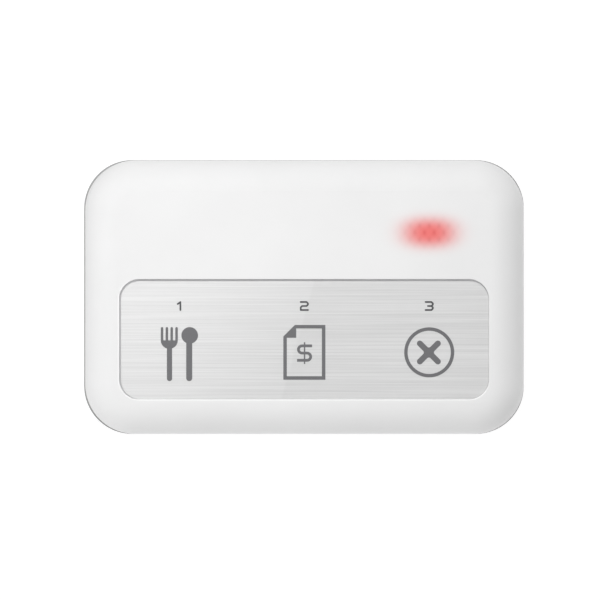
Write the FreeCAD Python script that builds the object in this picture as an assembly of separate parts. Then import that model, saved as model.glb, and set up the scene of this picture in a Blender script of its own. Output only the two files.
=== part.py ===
"""Table-top waiter call button: a slim radio transmitter with three keys under one flexible panel.

The case lies on four rubber feet with its face up.  X runs along the long side, +Y points from the
keys towards the indicator light, +Z points out of the face, and the origin is the middle of the plane
that the feet stand on.  All sizes are in millimetres.

From the front inwards the button is built of a thin printed panel film, its tape, the front cover with
three key windows, three plungers, a circuit board with three snap-dome switches, two light-emitting
diodes under a light guide, and the radio parts.  The board hangs from the front cover.  The back cover
holds a coin cell in a round bay, two spring contacts and a battery door that slides out of one edge.
"""

import math
import os

import FreeCAD
import Part

Vector = FreeCAD.Vector

# ---------------------------------------------------------------- case outline
case_width = 88.0
case_depth = 54.8
corner_radius = 9.6
front_edge_radius = 6.0
draft_angle = 3.0
back_edge_radius = 2.2
side_wall = 1.8
back_wall = 1.8
back_height = 3.4

# ---------------------------------------------------------------- stack of heights, from the table upwards
foot_height = 0.6
door_wall = 1.4
cell_height = 3.2
contact_space = 0.6
bay_roof = 0.85
board_gap = 0.2
board_thickness = 1.0
key_travel = 0.3
plunger_spare = 0.5
key_stem_length = 0.65
key_flange_thickness = 0.8
shelf_thickness = 1.2
tape_thickness = 0.1
film_thickness = 0.25
panel_sink = 0.45
ink_thickness = 0.04

# ---------------------------------------------------------------- clearances
slide_gap = 0.15
key_gap = 0.05
guide_gap = 0.12
screw_well_gap = 0.4
touch_gap = 0.02

# ---------------------------------------------------------------- seam between the covers
seam_gap = 0.25
rim_shows_left = 0.2
rim_shows_top = 0.06
rim_corner_growth = 0.35
tongue_width = 0.85
tongue_height = 1.45
tongue_gap = 0.1

# ---------------------------------------------------------------- panel
panel_side_margin = 7.05
panel_bottom_margin = 6.95
panel_depth = 24.0
panel_corner_radius = 4.0
panel_rim_round = 0.15
film_gap = 0.21
film_shift = 0.17
tape_gap = 0.05

# ---------------------------------------------------------------- keys
key_side_inset = 12.0
key_land = 11.0
key_margin_below = 3.7
key_margin_above = 9.1
key_head_corner = 1.2
key_window_margin = 1.6
key_flange_overlap = 0.8
key_stem_diameter = 4.0
guide_wall = 0.9
guide_reach = 1.4
key_names = ("left", "middle", "right")

# ---------------------------------------------------------------- snap-dome switches
switch_size = 6.2
switch_floor = 0.5
switch_body_height = 1.5
switch_plate_thickness = 0.2
dome_diameter = 4.4
dome_rest_height = 0.12
dome_thickness = 0.08
plunger_diameter = 3.2
plunger_flange_width = 0.4
plunger_flange_thickness = 0.45
terminal_width = 0.7
terminal_thickness = 0.2
terminal_reach = 1.3
terminal_spread = 4.5

# ---------------------------------------------------------------- indicator light
light_side_inset = 18.97
light_top_inset = 14.54
guide_length = 12.6
guide_width = 6.0
light_flange = 0.8
light_flange_thickness = 0.7
light_wall = 1.0
light_skin = 0.5
well_wall = 1.0
pip_row_counts = (5, 6, 5)
pip_pitch = 1.95
pip_row_pitch = 1.3
pip_diameter = 1.1
led_spacing = 6.0
led_length = 3.5
led_width = 2.8
led_height = 1.4
led_lens_diameter = 2.4
led_lens_depth = 0.4

# ---------------------------------------------------------------- circuit board
board_side_gap = 10.0
board_end_gap = 5.4
board_corner_radius = 2.0
board_screw_inset = 3.0
board_side_screw_y = 1.5
board_boss_diameter = 4.4
board_screw_length = 4.2
board_screw_diameter = 1.7
board_screw_head = 3.0
board_screw_head_height = 1.0

# ---------------------------------------------------------------- case screws
screw_inset = 7.0
case_screw_length = 6.5
case_screw_diameter = 2.0
case_screw_head = 3.8
case_screw_head_height = 1.3
screw_well_depth = 2.4
tower_height = 3.6
tower_wall = 0.9
case_boss_diameter = 5.0
thread_depth = 0.18
thread_pitch = 0.6
cross_recess_share = 0.6
cross_recess_width = 0.5
cross_recess_depth = 0.7

# ---------------------------------------------------------------- battery bay
cell_diameter = 20.0
cell_can_thickness = 0.3
cell_seal_width = 0.7
cell_cap_rise = 0.35
cell_mark_inset = 3.6
cell_mark_size = 3.2
cell_mark_line = 0.5
cell_mark_depth = 0.1
bay_offset_y = -6.0
bay_gap = 0.4
bay_wall = 1.2
contact_width = 4.0
contact_thickness = 0.25
contact_tail = 0.4
contact_slot_gap = 0.2

# ---------------------------------------------------------------- battery door
door_side_reach = 2.1
door_reach_past_bay = 1.2
door_end_overlap = 0.3
door_rail_reach = 0.8
door_rail_thickness = 0.6
door_rail_drop = 0.1
door_frame_margin = 1.2
door_roof = 0.85
grip_count = 5
grip_pitch = 1.7
grip_width = 0.8
grip_length = 13.0
grip_depth = 0.35
grip_inset = 4.2
arrow_width = 4.4
arrow_length = 2.6
arrow_inset = 14.2

# ---------------------------------------------------------------- feet and label recess
foot_length = 9.0
foot_width = 5.0
foot_seat_depth = 0.4
foot_edge_round = 0.25
foot_side_inset = 16.5
foot_end_inset = 6.4
label_width = 40.0
label_depth = 10.0
label_corner_radius = 1.5
label_recess_depth = 0.2
label_top_inset = 11.0

# ---------------------------------------------------------------- radio parts under the board
controller_size = (7.2, 5.3, 1.7)
controller_lead_count = 10
radio_size = (4.9, 3.9, 1.5)
radio_lead_count = 4
lead_thickness = 0.2
lead_width = 0.3
lead_reach = 1.0
chip_standoff = 0.1
crystal_length = 11.0
crystal_width = 4.6
crystal_height = 3.4
crystal_rim = 0.3
crystal_rim_height = 0.5
capacitor_diameter = 4.0
capacitor_height = 3.4
capacitor_base_height = 0.7
antenna_turn_count = 9
antenna_pitch = 1.3
antenna_diameter = 2.8
antenna_wire = 0.5
antenna_gap = 0.3
passive_length = 1.6
passive_width = 0.8
passive_height = 0.5
passive_column_count = 5
passive_column_pitch = 2.2
passive_row_count = 4
passive_row_pitch = 2.6
controller_inset = (11.0, 15.0)
radio_inset = (23.0, 9.0)
crystal_inset = (13.0, 18.0)
capacitor_inset = (21.5, 12.0)
antenna_inset = (4.5, 4.0)
passive_column_inset = (5.0, 24.0)
passive_row_inset = (6.0, 4.4)

# ---------------------------------------------------------------- printed signs on the film
sign_shift_x = 0.07
sign_shift_y = 0.09
utensil_spacing = 4.08
utensil_top = 5.05
utensil_bottom = -5.75
fork_width = 3.4
tine_count = 4
tine_width = 0.5
tine_length = 2.65
fork_handle_width = 1.04
fork_handle_shift = 0.04
spoon_diameter = 3.32
spoon_handle_width = 1.2
spoon_handle_shift = 0.1
sheet_width = 8.4
sheet_height = 10.95
sheet_line = 0.7
sheet_fold = 2.3
sheet_fold_line = 0.27
dollar_width = 3.0
dollar_height = 3.45
dollar_line = 0.56
dollar_bar_width = 0.28
dollar_bar_height = 4.35
dollar_drop = 0.15
dollar_shift = 0.04
ring_diameter = 10.0
ring_line = 0.68
cross_reach = 1.8
cross_line = 1.16
cross_shift = 0.07
cross_drop = 0.03
cross_corner_round = 0.45
number_inset = 5.35
number_width = 1.45
number_height = 1.6
number_line = 0.34
number_corner = 0.28

# ---------------------------------------------------------------- heights worked out from the stack
z_back = foot_height
z_floor = z_back + back_wall
z_seam = z_back + back_height
z_pocket = z_back + door_wall + slide_gap
z_cell_top = z_pocket + cell_height
z_bay_top = z_cell_top + contact_space
z_board = z_bay_top + bay_roof + board_gap
z_board_top = z_board + board_thickness
z_cup_floor = z_board_top + switch_floor
z_cup_top = z_board_top + switch_body_height
z_plate_top = z_cup_top + switch_plate_thickness
z_switch_top = z_plate_top + key_travel + plunger_spare
z_flange = z_switch_top + key_stem_length
z_ceiling = z_flange + key_flange_thickness + key_gap
z_shelf = z_ceiling + shelf_thickness
z_film = z_shelf + tape_thickness
z_film_top = z_film + film_thickness
z_front = z_film_top + panel_sink
z_join = z_floor + tower_height
z_screw_seat = z_back + screw_well_depth
z_guide_bottom = z_ceiling - guide_reach
z_light_low = z_board_top + led_height + key_gap
z_light_flange = z_light_low + light_flange_thickness
z_light_roof = z_front - light_wall

# ---------------------------------------------------------------- places worked out from the outline
half_width = case_width / 2
half_depth = case_depth / 2
inner_width = case_width - 2 * side_wall
inner_depth = case_depth - 2 * side_wall
inner_radius = corner_radius - side_wall
panel_width = case_width - 2 * panel_side_margin
panel_y = -half_depth + panel_bottom_margin + panel_depth / 2
panel_top = panel_y + panel_depth / 2
film_x = film_shift
film_y = panel_y - film_shift
key_pitch = panel_width / 2 - key_side_inset
key_head_width = key_pitch - key_land
key_head_depth = panel_depth - key_margin_below - key_margin_above
key_y = panel_y - panel_depth / 2 + key_margin_below + key_head_depth / 2
key_places = {name: (step * key_pitch, key_y) for name, step in zip(key_names, (-1, 0, 1))}
sign_places = {name: (x + sign_shift_x, y + sign_shift_y) for name, (x, y) in key_places.items()}
window_width = key_head_width + 2 * key_window_margin
window_depth = key_head_depth + 2 * key_window_margin
window_corner = key_head_corner + key_window_margin
flange_width = window_width + 2 * key_flange_overlap
flange_depth = window_depth + 2 * key_flange_overlap
number_y = panel_top - number_inset
light_x = half_width - light_side_inset
light_y = half_depth - light_top_inset
board_width = case_width - 2 * board_side_gap
board_depth = case_depth - 2 * board_end_gap
bay_radius = cell_diameter / 2 + bay_gap
bay_outer_radius = bay_radius + bay_wall
tower_diameter = case_screw_head + 2 * (screw_well_gap + tower_wall)
door_width = 2 * (bay_radius + door_side_reach)
door_rail_width = door_width + 2 * door_rail_reach
door_end_width = door_rail_width + 2 * door_end_overlap
door_end_wall = side_wall - slide_gap
door_top_y = bay_offset_y + bay_radius + door_reach_past_bay
door_bottom_y = -half_depth
wall_inner_y = -half_depth + side_wall
dome_height = key_travel + dome_rest_height
contact_slot = contact_thickness + 2 * contact_slot_gap
contact_slot_width = contact_width + 2 * contact_slot_gap
negative_tail_x = bay_radius / 2
positive_tail_x = bay_outer_radius + contact_slot_gap + contact_thickness
rail_low = z_back + door_wall - door_rail_drop - door_rail_thickness
rail_high = rail_low + door_rail_thickness



def four_corners(x, y):
    """The four places at plus and minus x and y."""
    return [(sx * x, sy * y) for sx in (-1, 1) for sy in (-1, 1)]


case_screw_places = four_corners(half_width - screw_inset, half_depth - screw_inset)
foot_places = four_corners(half_width - foot_side_inset, half_depth - foot_end_inset)
board_side_screw_x = board_width / 2 - board_screw_inset
board_screw_places = four_corners(key_pitch / 2, board_depth / 2 - board_screw_inset) + [
    (-board_side_screw_x, board_side_screw_y),
    (board_side_screw_x, board_side_screw_y),
]
led_places = {"left": (light_x - led_spacing / 2, light_y), "right": (light_x + led_spacing / 2, light_y)}



def from_left(inset):
    """Place measured from the board's upper left corner."""
    return (-board_width / 2 + inset[0], board_depth / 2 - inset[1])


def from_right(inset):
    """Place measured from the board's upper right corner."""
    return (board_width / 2 - inset[0], board_depth / 2 - inset[1])


controller_place = from_left(controller_inset)
capacitor_place = from_left(capacitor_inset)
antenna_start = from_left(antenna_inset)
crystal_place = from_right(crystal_inset)
radio_place = from_right(radio_inset)
passive_column = from_left(passive_column_inset)
passive_row = from_right(passive_row_inset)
passive_places = [
    (passive_column[0], passive_column[1] - passive_column_pitch * step)
    for step in range(passive_column_count)
] + [
    (passive_row[0] - passive_row_pitch * step, passive_row[1])
    for step in range(passive_row_count)
]


# ================================================================ shape helpers
def box(x_low, x_high, y_low, y_high, z_low, z_high):
    """Plain box between two corners."""
    return Part.makeBox(x_high - x_low, y_high - y_low, z_high - z_low, Vector(x_low, y_low, z_low))


def centred_box(width, depth, z_low, z_high, x=0.0, y=0.0):
    """Plain box centred on (x, y)."""
    return box(x - width / 2, x + width / 2, y - depth / 2, y + depth / 2, z_low, z_high)


def rod(diameter, z_low, z_high, x=0.0, y=0.0):
    """Upright cylinder."""
    return Part.makeCylinder(diameter / 2, z_high - z_low, Vector(x, y, z_low))


def is_upright(edge):
    """True for a straight edge along Z."""
    return edge.BoundBox.XLength < 1e-6 and edge.BoundBox.YLength < 1e-6


def rounded_block(width, depth, radius, z_low, z_high, x=0.0, y=0.0):
    """Upright block with rounded corners, centred on (x, y)."""
    block = centred_box(width, depth, z_low, z_high, x, y)
    return block.makeFillet(radius, [edge for edge in block.Edges if is_upright(edge)])


def rounded_outline(width, depth, radius, z):
    """Closed outline with rounded corners, centred on the Z axis."""
    right, top = width / 2, depth / 2
    mid = radius * (1 - math.sqrt(0.5))
    edges = []
    for sx, sy in ((1, -1), (1, 1), (-1, 1), (-1, -1)):
        side = Vector(sx * right, sy * (top - radius), z)
        middle = Vector(sx * (right - mid), sy * (top - mid), z)
        end = Vector(sx * (right - radius), sy * top, z)
        first, last = (end, side) if sx * sy < 0 else (side, end)
        if edges:
            edges.append(Part.LineSegment(edges[-1].lastVertex().Point, first).toShape())
        edges.append(Part.Arc(first, middle, last).toShape())
    edges.append(Part.LineSegment(edges[-1].lastVertex().Point, edges[0].firstVertex().Point).toShape())
    return Part.Wire(edges)


def drafted_block(width, depth, radius, z_low, z_high, x=0.0, y=0.0):
    """Block with rounded corners whose sides lean in towards the top by the draft angle."""
    lean = (z_high - z_low) * math.tan(math.radians(draft_angle))
    low = rounded_outline(width, depth, radius, z_low)
    high = rounded_outline(width - 2 * lean, depth - 2 * lean, radius - lean, z_high)
    return Part.makeLoft([low, high], True, True).translated(Vector(x, y, 0))


def oval_block(length, width, z_low, z_high, x=0.0, y=0.0):
    """Upright block with half-round ends, its length along X."""
    straight = length - width
    block = centred_box(straight, width, z_low, z_high, x, y)
    ends = [rod(width, z_low, z_high, x + side * straight / 2, y) for side in (-1, 1)]
    return union(block, ends)


def union(first, others):
    """One solid from several that meet."""
    return first.multiFuse(others).removeSplitter()


def without(shape, *groups):
    """The shape with every tool in the groups cut away."""
    tools = [tool for group in groups for tool in (group if isinstance(group, list) else [group])]
    return shape.cut(tools)


def edges_at(shape, height, inside=None):
    """Edges that lie flat at one height, and within a box where one is given."""
    flat = [
        edge
        for edge in shape.Edges
        if abs(edge.BoundBox.ZMin - height) < 1e-4 and abs(edge.BoundBox.ZMax - height) < 1e-4
    ]
    return [edge for edge in flat if inside is None or inside.BoundBox.isInside(edge.BoundBox.Center)]


def rounded_edges(shape, radius, height, inside=None):
    """The shape with its flat edges at one height rounded."""
    return shape.makeFillet(radius, edges_at(shape, height, inside))


def turned(profile, x, y):
    """Solid of revolution about an upright axis through (x, y), from (radius, height) corners."""
    corners = [Vector(radius, 0, height) for radius, height in profile]
    face = Part.Face(Part.makePolygon(corners + corners[:1]))
    solid = face.revolve(Vector(0, 0, 0), Vector(0, 0, 1), 360)
    return solid.translated(Vector(x, y, 0))


def slab(corners, z_low, z_high):
    """Flat plate with the given corners, seen from above."""
    points = [Vector(x, y, z_low) for x, y in corners]
    return Part.Face(Part.makePolygon(points + points[:1])).extrude(Vector(0, 0, z_high - z_low))


def line_strip(start, end, width, z_low, z_high):
    """Straight printed line with square ends."""
    a, b = Vector(*start, 0), Vector(*end, 0)
    along = (b - a).normalize()
    side = Vector(-along.y, along.x, 0) * (width / 2)
    return slab([(p.x, p.y) for p in (a + side, b + side, b - side, a - side)], z_low, z_high)


def stroke(points, width, z_low, z_high):
    """Printed line through the points, with round ends and round corners."""
    lines = [line_strip(a, b, width, z_low, z_high) for a, b in zip(points, points[1:])]
    dots = [rod(width, z_low, z_high, x, y) for x, y in points]
    return union(lines[0], lines[1:] + dots)


def bent_strip(points, thickness, width, centre):
    """Sheet-metal strip that follows (across, height) points, its width along Y."""
    halves = []
    for (x_low, z_low), (x_high, z_high) in zip(points, points[1:]):
        run = Vector(x_high - x_low, 0, z_high - z_low)
        normal = Vector(-run.z, 0, run.x).normalize() * (thickness / 2)
        corner = Vector(x_low, -width / 2, z_low)
        corners = [corner + normal, corner + run + normal, corner + run - normal, corner - normal]
        face = Part.Face(Part.makePolygon(corners + corners[:1]))
        halves.append(face.extrude(Vector(0, width, 0)))
    for x, z in points[1:-1]:
        bend = Part.makeCylinder(thickness / 2, width, Vector(x, -width / 2, z), Vector(0, 1, 0))
        halves.append(bend)
    return union(halves[0], halves[1:]).translated(Vector(centre[0], centre[1], 0))


# ================================================================ screws
def screw(diameter, length, head_diameter, head_height, seat, x, y):
    """Cross-recess tapping screw that points up, its head under the seat height."""
    core = diameter / 2 - thread_depth
    ring = diameter / 2 - touch_gap
    profile = [(0, seat), (core, seat)]
    turns = int((length - core - thread_pitch / 2) / thread_pitch)
    for turn in range(turns):
        crest = seat + (turn + 1) * thread_pitch
        profile += [(core, crest - thread_depth), (ring, crest), (core, crest + thread_depth)]
    profile += [(core, seat + length - core), (0, seat + length)]
    head = rod(head_diameter, seat - head_height, seat, x, y)
    head = rounded_edges(head, head_height / 3, seat - head_height)
    blade = head_diameter * cross_recess_share
    low, high = seat - head_height - touch_gap, seat - head_height + cross_recess_depth
    cross = [
        centred_box(blade, cross_recess_width, low, high, x, y),
        centred_box(cross_recess_width, blade, low, high, x, y),
    ]
    return union(turned(profile, x, y), [without(head, cross)])


def case_screws():
    size = (case_screw_diameter, case_screw_length, case_screw_head, case_screw_head_height)
    return [screw(*size, z_screw_seat, x, y) for x, y in case_screw_places]


def board_screws():
    size = (board_screw_diameter, board_screw_length, board_screw_head, board_screw_head_height)
    return [screw(*size, z_board, x, y) for x, y in board_screw_places]


# ================================================================ front cover
def light_pips(z_low, z_high, diameter):
    """Staggered rows of short rods over the indicator light."""
    pips = []
    for row, count in enumerate(pip_row_counts):
        y = light_y + (row - (len(pip_row_counts) - 1) / 2) * pip_row_pitch
        for place in range(count):
            x = light_x + (place - (count - 1) / 2) * pip_pitch
            pips.append(rod(diameter, z_low, z_high, x, y))
    return pips


def front_shell():
    """Pillow-edged shell, with the rebate that takes the back cover's tongue.

    It is a little smaller than the back cover, whose rim shows as a fine line at the left and the corners.
    """
    width, depth = case_width - rim_shows_left, case_depth - rim_shows_top
    radius = corner_radius + rim_corner_growth
    shell = drafted_block(width, depth, radius, z_seam, z_front, rim_shows_left / 2, -rim_shows_top / 2)
    shell = rounded_edges(shell, front_edge_radius, z_front)
    hollow = rounded_block(inner_width, inner_depth, inner_radius, z_seam - 1, z_ceiling)
    hollow = rounded_edges(hollow, front_edge_radius - side_wall, z_ceiling)
    reach = tongue_width + tongue_gap
    rebate = rounded_block(
        inner_width + 2 * reach,
        inner_depth + 2 * reach,
        inner_radius + reach,
        z_seam - 1,
        z_seam + tongue_height + tongue_gap,
    )
    return without(shell, hollow, rebate)


def front_cover():
    """White front shell with the panel shelf, key windows and guides, bosses and light well."""
    shell = front_shell()
    embed = z_ceiling + shelf_thickness / 2
    guides = [
        rounded_block(
            flange_width + 2 * (guide_gap + guide_wall),
            flange_depth + 2 * (guide_gap + guide_wall),
            window_corner + guide_wall,
            z_guide_bottom,
            embed,
            x,
            y,
        )
        for x, y in key_places.values()
    ]
    case_bosses = [rod(case_boss_diameter, z_join, embed, x, y) for x, y in case_screw_places]
    board_bosses = [rod(board_boss_diameter, z_board_top, embed, x, y) for x, y in board_screw_places]
    well_length = guide_length + 2 * (guide_gap + well_wall)
    well_width = guide_width + 2 * (guide_gap + well_wall)
    well = oval_block(well_length, well_width, z_light_flange, embed, light_x, light_y)
    cover = union(shell, guides + case_bosses + board_bosses + [well])

    recess = rounded_block(panel_width, panel_depth, panel_corner_radius, z_shelf, z_front + 1, 0, panel_y)
    windows = [
        rounded_block(window_width, window_depth, window_corner, z_guide_bottom, z_front, x, y)
        for x, y in key_places.values()
    ]
    key_bays = [
        rounded_block(
            flange_width + 2 * guide_gap,
            flange_depth + 2 * guide_gap,
            window_corner,
            z_guide_bottom - 1,
            z_ceiling,
            x,
            y,
        )
        for x, y in key_places.values()
    ]
    case_pilots = [
        rod(case_screw_diameter, z_join - 1, z_screw_seat + case_screw_length + slide_gap, x, y)
        for x, y in case_screw_places
    ]
    board_pilots = [
        rod(board_screw_diameter, z_board_top - 1, z_board + board_screw_length + slide_gap, x, y)
        for x, y in board_screw_places
    ]
    light_bore = oval_block(
        guide_length + 2 * guide_gap,
        guide_width + 2 * guide_gap,
        z_board_top,
        z_light_roof,
        light_x,
        light_y,
    )
    pip_holes = light_pips(z_ceiling, z_front - light_skin, pip_diameter + 2 * key_gap)
    cover = without(cover, recess, windows, key_bays, case_pilots, board_pilots, light_bore, pip_holes)
    return rounded_edges(cover, panel_rim_round, z_front, recess)


# ================================================================ panel film, tape and print
def film_corner_radius(side_x, side_y):
    """Radius of one of the film's corners, round from the same centre as the recess's corner there."""
    corner_gap = film_gap - film_shift * (side_x - side_y) / 2
    return panel_corner_radius - corner_gap


def panel_film():
    """Thin flexible panel with a brushed-metal look, one piece over all three keys.

    It is laid towards the lower right of its recess, which opens a fine gap along the top and the left.
    """
    film = centred_box(
        panel_width - 2 * film_gap, panel_depth - 2 * film_gap, z_film, z_film_top, film_x, film_y
    )
    for side_x, side_y in four_corners(1, 1):
        corner = [
            edge
            for edge in film.Edges
            if is_upright(edge)
            and side_x * (edge.CenterOfMass.x - film_x) > 0
            and side_y * (edge.CenterOfMass.y - film_y) > 0
        ]
        film = film.makeFillet(film_corner_radius(side_x, side_y), corner)
    return film


def panel_tape():
    """Double-sided tape that fills the recess's floor under the film, open over the keys."""
    width, depth = panel_width - 2 * tape_gap, panel_depth - 2 * tape_gap
    tape = rounded_block(width, depth, panel_corner_radius - tape_gap, z_shelf, z_film, 0, panel_y)
    windows = [
        rounded_block(window_width, window_depth, window_corner, z_shelf - 1, z_film + 1, x, y)
        for x, y in key_places.values()
    ]
    return without(tape, windows)


def fork_and_spoon(x, y):
    """Printed fork and spoon for the left key."""
    low, high = z_film_top, z_film_top + ink_thickness
    fork_x, spoon_x = x - utensil_spacing / 2, x + utensil_spacing / 2
    top, bottom = y + utensil_top, y + utensil_bottom
    tine_root = top - tine_length
    tine_tip = top - tine_width / 2
    tine_step = (fork_width - tine_width) / (tine_count - 1)
    tine_places = [fork_x + tine_step * (place - (tine_count - 1) / 2) for place in range(tine_count)]
    tines = [
        stroke([(tine_x, tine_tip), (tine_x, tine_root)], tine_width, low, high)
        for tine_x in tine_places
    ]
    disc = rod(fork_width, low, high, fork_x, tine_root)
    bowl = without(disc, box(fork_x - fork_width, fork_x + fork_width, tine_root, top, low - 1, high + 1))
    handle_x = fork_x + fork_handle_shift
    fork_handle = stroke(
        [(handle_x, tine_root - fork_width / 4), (handle_x, bottom + fork_handle_width / 2)],
        fork_handle_width,
        low,
        high,
    )
    fork = union(bowl, [fork_handle] + tines)
    spoon_y = top - spoon_diameter / 2
    handle_x = spoon_x - spoon_handle_shift
    spoon_handle = stroke(
        [(handle_x, spoon_y), (handle_x, bottom + spoon_handle_width / 2)], spoon_handle_width, low, high
    )
    spoon = union(rod(spoon_diameter, low, high, spoon_x, spoon_y), [spoon_handle])
    return [fork, spoon]


def bill_sheet(x, y):
    """Printed sheet with a folded corner and a currency sign for the middle key."""
    low, high = z_film_top, z_film_top + ink_thickness
    left, right = x - sheet_width / 2, x + sheet_width / 2
    bottom, top = y - sheet_height / 2, y + sheet_height / 2
    outline = slab(
        [(left, bottom), (right, bottom), (right, top), (left + sheet_fold, top), (left, top - sheet_fold)],
        low,
        high,
    )
    fold = sheet_fold + sheet_fold_line
    opening = slab(
        [
            (left + sheet_line, bottom + sheet_line),
            (right - sheet_line, bottom + sheet_line),
            (right - sheet_line, top - sheet_line),
            (left + fold, top - sheet_line),
            (left + fold, top - fold),
            (left + sheet_line, top - fold),
        ],
        low - 1,
        high + 1,
    )
    return [without(outline, opening), currency_sign(x + dollar_shift, y - dollar_drop, low, high)]


def currency_sign(x, y, low, high):
    """Letter S of two half rings and three bars, crossed by a thin upright bar."""
    bend = (dollar_height - dollar_line) / 4
    centre = (dollar_width - dollar_line) / 2 - bend
    reach = dollar_width / 2
    lines = [centred_box(dollar_bar_width, dollar_bar_height, low, high, x, y)]
    spans = ((2 * bend, -centre, reach), (0, -centre, centre), (-2 * bend, -reach, centre))
    for dy, start, end in spans:
        lines.append(centred_box(end - start, dollar_line, low, high, x + (start + end) / 2, y + dy))
    for side in (-1, 1):
        ring_x, ring_y = x + side * centre, y - side * bend
        ring = rod(2 * bend + dollar_line, low, high, ring_x, ring_y)
        hole = rod(2 * bend - dollar_line, low - 1, high + 1, ring_x, ring_y)
        inner_x = ring_x - side * dollar_width / 2
        inner = centred_box(dollar_width, dollar_height, low - 1, high + 1, inner_x, ring_y)
        lines.append(without(ring, hole, inner))
    return union(lines[0], lines[1:])


def ring_and_cross(x, y):
    """Printed ring with a cross for the right key."""
    low, high = z_film_top, z_film_top + ink_thickness
    ring = without(
        rod(ring_diameter, low, high, x, y), rod(ring_diameter - 2 * ring_line, low - 1, high + 1, x, y)
    )
    cross_x, cross_y = x - cross_shift, y - cross_drop
    left, right = cross_x - cross_reach, cross_x + cross_reach
    arms = [
        stroke([(left, cross_y - rise), (right, cross_y + rise)], cross_line, low, high)
        for rise in (-cross_reach, cross_reach)
    ]
    cross = union(arms[0], arms[1:])
    centre = Vector(cross_x, cross_y, (low + high) / 2)
    corners = [edge for edge in cross.Edges if (edge.CenterOfMass - centre).Length < cross_line]
    return [ring, cross.makeFillet(cross_corner_round, [edge for edge in corners if is_upright(edge)])]


def number_print():
    """Plain key numbers 1, 2 and 3 above the signs."""
    low, high = z_film_top, z_film_top + ink_thickness
    w, h = number_width / 2, number_height / 2
    cut_w, cut_h = w - number_corner, h - number_corner
    right_bow = [(w, cut_h), (w, number_corner), (cut_w, 0)]
    left_bow = [(-cut_w, 0), (-w, -number_corner), (-w, -h)]
    lower_bow = [(w, -number_corner), (w, -cut_h), (cut_w, -h)]
    paths = {
        "left": [[(-w / 2, h / 2), (w / 4, h), (w / 4, -h)]],
        "middle": [[(-w, h), (cut_w, h)] + right_bow + left_bow + [(w, -h)]],
        "right": [[(-w, h), (cut_w, h)] + right_bow + lower_bow + [(-w, -h)], [(-w / 3, 0), (cut_w, 0)]],
    }
    numbers = []
    for name, (x, _) in sign_places.items():
        placed = [[(x + dx, number_y + dy) for dx, dy in path] for path in paths[name]]
        lines = [stroke(path, number_line, low, high) for path in placed]
        numbers.append(union(lines[0], lines[1:]) if len(lines) > 1 else lines[0])
    return numbers


# ================================================================ keys and switches
def key(x, y):
    """Plunger with a head in the window, a flange that holds it in and a stem on the switch."""
    head = rounded_block(
        key_head_width, key_head_depth, key_head_corner, z_flange, z_film - key_gap, x, y
    )
    flange = rounded_block(
        flange_width, flange_depth, window_corner, z_flange, z_flange + key_flange_thickness, x, y
    )
    stem = rod(key_stem_diameter, z_switch_top, z_flange + key_flange_thickness, x, y)
    return union(flange, [head, stem])


def switch_body(x, y):
    """Black cup that holds the dome."""
    body = centred_box(switch_size, switch_size, z_board_top, z_cup_top, x, y)
    return without(body, rod(dome_diameter + 2 * guide_gap, z_cup_floor, z_cup_top + 1, x, y))


def switch_plate(x, y):
    """Steel plate that closes the cup around the plunger."""
    plate = centred_box(switch_size, switch_size, z_cup_top, z_plate_top, x, y)
    return without(plate, rod(plunger_diameter + 2 * guide_gap, z_cup_top - 1, z_plate_top + 1, x, y))


def switch_dome(x, y):
    """Snap dome, a thin steel cap that stands on the cup floor."""
    half = dome_diameter / 2
    radius = (half**2 + dome_height**2) / (2 * dome_height)
    centre = Vector(x, y, z_cup_floor + dome_height - radius)
    cap = Part.makeSphere(radius, centre).cut(Part.makeSphere(radius - dome_thickness, centre))
    return cap.common(rod(dome_diameter, z_cup_floor, z_cup_floor + dome_height + 1, x, y))


def switch_plunger(x, y):
    """Plunger that the key's stem pushes onto the dome."""
    low = z_cup_floor + dome_height + touch_gap
    high = min(low + plunger_flange_thickness, z_cup_top - touch_gap)
    flange = rod(plunger_diameter + 2 * plunger_flange_width, low, high, x, y)
    return union(flange, [rod(plunger_diameter, low, z_switch_top, x, y)])


def switch_terminals():
    """Bent solder terminals, four on each switch."""
    foot = terminal_thickness
    top = z_board_top + switch_floor + foot
    terminals = []
    for x, y in key_places.values():
        for side in (-1, 1):
            for row in (-1, 1):
                wall = x + side * switch_size / 2
                row_y = y + row * terminal_spread / 2
                pad_x = wall + side * terminal_reach / 2
                pad_top = z_board_top + foot
                pad = centred_box(terminal_reach, terminal_width, z_board_top, pad_top, pad_x, row_y)
                post = centred_box(foot, terminal_width, z_board_top, top, wall + side * foot / 2, row_y)
                terminals.append(union(pad, [post]))
    return terminals


# ================================================================ circuit board and light
def circuit_board():
    board = rounded_block(board_width, board_depth, board_corner_radius, z_board, z_board_top)
    hole = board_screw_diameter + 2 * guide_gap
    holes = [rod(hole, z_board - 1, z_board_top + 1, x, y) for x, y in board_screw_places]
    slots = [
        centred_box(contact_slot, contact_slot_width, z_board - 1, z_board_top + 1, x, bay_offset_y)
        for x in (negative_tail_x, positive_tail_x)
    ]
    return without(board, holes, slots)


def led(x, y):
    """Surface-mount lamp with a shallow dish."""
    top = z_board_top + led_height
    body = centred_box(led_length, led_width, z_board_top, top, x, y)
    rim = led_lens_diameter / 2
    dish = Part.makeCone(rim - led_lens_depth / 2, rim, led_lens_depth, Vector(x, y, top - led_lens_depth))
    return without(body, dish)


def light_guide():
    """Clear block that spreads the light and feeds the pips under the front skin."""
    roof = z_light_roof - key_gap
    body = oval_block(guide_length, guide_width, z_light_low, roof, light_x, light_y)
    length, width = guide_length + 2 * light_flange, guide_width + 2 * light_flange
    flange = oval_block(length, width, z_light_low, z_light_flange, light_x, light_y)
    pips = light_pips(roof - key_gap, z_front - light_skin - key_gap, pip_diameter)
    return union(body, [flange] + pips)


# ================================================================ radio parts under the board
def chip(size, place):
    """Moulded chip body that hangs under the board."""
    length, width, height = size
    high = z_board - chip_standoff
    return centred_box(length, width, high - height, high, *place)


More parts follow.
